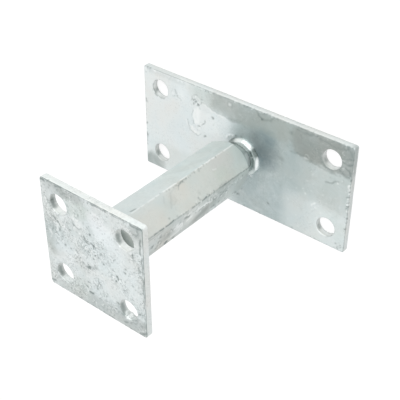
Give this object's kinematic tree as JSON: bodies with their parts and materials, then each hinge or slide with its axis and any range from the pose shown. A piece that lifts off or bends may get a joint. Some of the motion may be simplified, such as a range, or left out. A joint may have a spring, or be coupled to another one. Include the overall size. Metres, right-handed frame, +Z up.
{
  "type": "timber post base",
  "caption": "Galvanised steel post base: a drilled rectangular base plate, a hexagonal stem and a drilled square top plate, welded together.",
  "frame": {"origin": "centre of the base plate's underside, where it lies on the concrete", "axes": "+Z up the stem to the square top plate, +X along the base plate's long side, +Y along its short side"},
  "size_m": [0.16, 0.075, 0.135],
  "materials": {
    "galvanised_plate": "hot-dip galvanised, satin with mottled zinc",
    "galvanised_bar": "hot-dip galvanised bar, satin",
    "galvanised_weld": "hot-dip galvanised weld bead, bright"
  },
  "bodies": {
    "root": {"base_plate": "galvanised_plate", "stem": "galvanised_bar", "base_weld": "galvanised_weld", "top_plate": "galvanised_plate", "top_weld": "galvanised_weld"}
  },
  "joints": []
}
